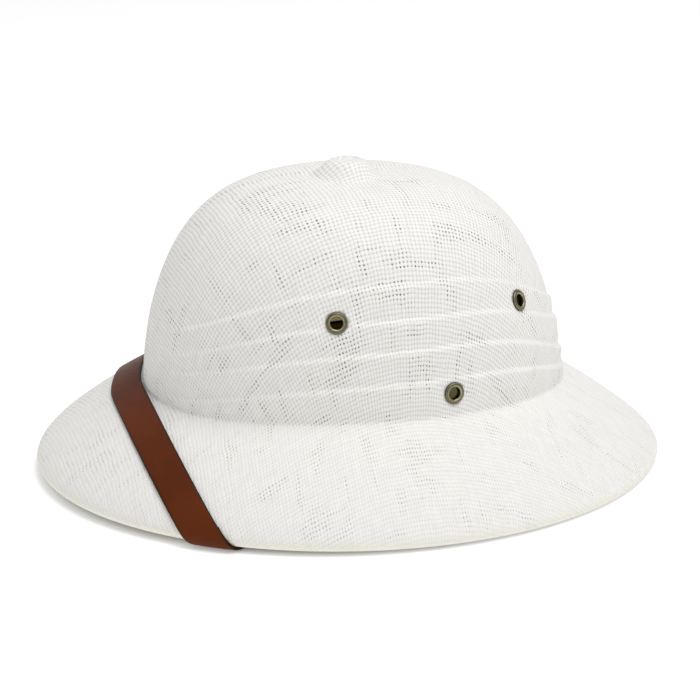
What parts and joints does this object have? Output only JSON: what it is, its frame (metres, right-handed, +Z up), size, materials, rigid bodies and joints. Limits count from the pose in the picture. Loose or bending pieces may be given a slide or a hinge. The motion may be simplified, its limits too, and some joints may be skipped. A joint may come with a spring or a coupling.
{
  "type": "pith helmet",
  "caption": "Moulded woven-straw sun hat with a domed crown, pleated sides, a sloping brim, vent eyelets and a leather strap over the front.",
  "frame": {"origin": "centre of the hat's box at the surface that it stands on", "axes": "+Z up, -Y towards the front of the hat, +X towards the wearer's left"},
  "size_m": [0.2782, 0.3238, 0.1527],
  "materials": {
    "straw": "matt woven straw, off-white",
    "lining": "matt olive cloth",
    "brass": "antique, darkened in the hollows",
    "leather": "smooth, semi-gloss, dark brown"
  },
  "bodies": {
    "root": {"straw_shell": "straw", "brim_lining": "lining", "eyelet_left_front": "brass", "eyelet_left_low": "brass", "eyelet_left_back": "brass", "eyelet_right_front": "brass", "eyelet_right_low": "brass", "eyelet_right_back": "brass", "chin_strap": "leather", "strap_rivet_left": "brass", "strap_rivet_right": "brass"}
  },
  "joints": []
}
